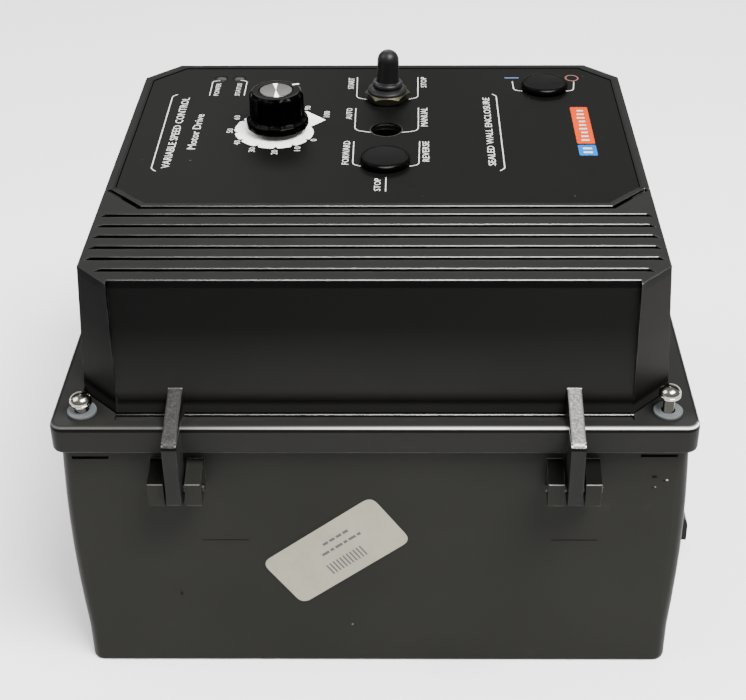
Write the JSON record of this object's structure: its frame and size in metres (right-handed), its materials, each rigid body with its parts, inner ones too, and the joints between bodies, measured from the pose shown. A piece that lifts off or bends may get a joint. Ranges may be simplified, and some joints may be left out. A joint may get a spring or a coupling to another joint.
{
  "type": "variable frequency drive",
  "caption": "Variable frequency drive in a black die-cast enclosure with a hinged, ribbed front cover, speed knob, booted toggle switch, plugged switch holes and captive cover screws.",
  "frame": {"origin": "middle of the flat back face that goes against the wall", "axes": "+X along the drive towards its conduit end, +Y across it away from the cover hinges, +Z out of the front panel"},
  "size_m": [0.272, 0.237, 0.1934],
  "materials": {
    "black_paint": "semi-gloss",
    "label_film": "satin",
    "black_rubber": "satin",
    "gasket_foam": "matte",
    "black_plastic": "gloss",
    "nickel_plate": "polished",
    "nylon_washer": "matte",
    "steel": "satin",
    "nickel_brass": "satin",
    "aluminium": "satin",
    "led_lens": "gloss",
    "circuit_board": "satin",
    "module_epoxy": "matte",
    "capacitor_sleeve": "satin",
    "copper_winding": "gloss",
    "fuse_ceramic": "satin",
    "ground_green": "satin"
  },
  "bodies": {
    "base": {"enclosure_base": "black_paint", "hinge_pin_left": "steel", "hinge_pin_right": "steel", "heat_spreader": "aluminium", "main_board": "circuit_board", "control_board": "circuit_board", "board_header": "black_plastic", "control_post_1": "nickel_brass", "control_post_2": "nickel_brass", "standoff_1": "nickel_brass", "standoff_2": "nickel_brass", "standoff_3": "nickel_brass", "standoff_4": "nickel_brass", "board_screw_1": "steel", "board_screw_2": "steel", "board_screw_3": "steel", "board_screw_4": "steel", "power_module": "module_epoxy", "bus_capacitor_1": "capacitor_sleeve", "bus_capacitor_2": "capacitor_sleeve", "bus_capacitor_3": "capacitor_sleeve", "line_choke": "copper_winding", "fault_relay": "black_plastic", "line_fuse": "fuse_ceramic", "line_terminals": "black_plastic", "motor_terminals": "black_plastic", "signal_terminals": "black_plastic", "ground_screw": "ground_green", "conduit_plug_a": "black_plastic", "conduit_plug_b": "black_plastic", "conduit_nut_a": "steel", "conduit_nut_b": "steel"},
    "cover": {"front_cover": "black_paint", "cover_gasket": "gasket_foam", "front_label": "label_film", "screw_washer_hinge_left": "nylon_washer", "screw_washer_hinge_right": "nylon_washer", "screw_washer_far_left": "nylon_washer", "screw_washer_far_right": "nylon_washer", "power_led": "led_lens", "status_led": "led_lens", "led_board": "circuit_board", "pot_body": "steel", "pot_nut": "nickel_brass", "toggle_body": "black_plastic", "boot_nut": "nickel_brass", "hole_plug_direction": "black_rubber", "hole_plug_power": "black_rubber", "plug_nut_direction": "steel", "plug_nut_power": "steel"},
    "knob": {"speed_knob": "black_plastic", "knob_cap": "aluminium", "pot_shaft": "nickel_brass"},
    "lever": {"toggle_lever": "steel", "toggle_boot": "black_rubber"},
    "screw_hinge_left": {"cover_screw_hinge_left": "nickel_plate"},
    "screw_hinge_right": {"cover_screw_hinge_right": "nickel_plate"},
    "screw_far_left": {"cover_screw_far_left": "nickel_plate"},
    "screw_far_right": {"cover_screw_far_right": "nickel_plate"}
  },
  "joints": [
    {"name": "cover_hinge", "type": "hinge", "parent": "base", "child": "cover", "pos_m": [0, -0.1168, 0.0955], "axis": [1, 0, 0], "range_deg": [0, 110]},
    {"name": "speed_knob_turn", "type": "hinge", "parent": "cover", "child": "knob", "pos_m": [-0.0432, 0.03, 0.1704], "axis": [0, 0, 1], "range_deg": [-4, 296]},
    {"name": "toggle_tilt", "type": "hinge", "parent": "cover", "child": "lever", "pos_m": [0.0028, 0.0615, 0.17], "axis": [0, 1, 0], "range_deg": [-10, 10], "stiffness_Nm_per_rad": 0.05},
    {"name": "screw_hinge_left_slide", "type": "slide", "parent": "cover", "child": "screw_hinge_left", "axis": [0, 0, 1], "range_m": [-0.0026, 0.0054]},
    {"name": "screw_hinge_right_slide", "type": "slide", "parent": "cover", "child": "screw_hinge_right", "axis": [0, 0, 1], "range_m": [-0.0062, 0.0018]},
    {"name": "screw_far_left_slide", "type": "slide", "parent": "cover", "child": "screw_far_left", "axis": [0, 0, 1], "range_m": [-0.0035, 0.0045]},
    {"name": "screw_far_right_slide", "type": "slide", "parent": "cover", "child": "screw_far_right", "axis": [0, 0, 1], "range_m": [-0.0048, 0.0032]}
  ]
}
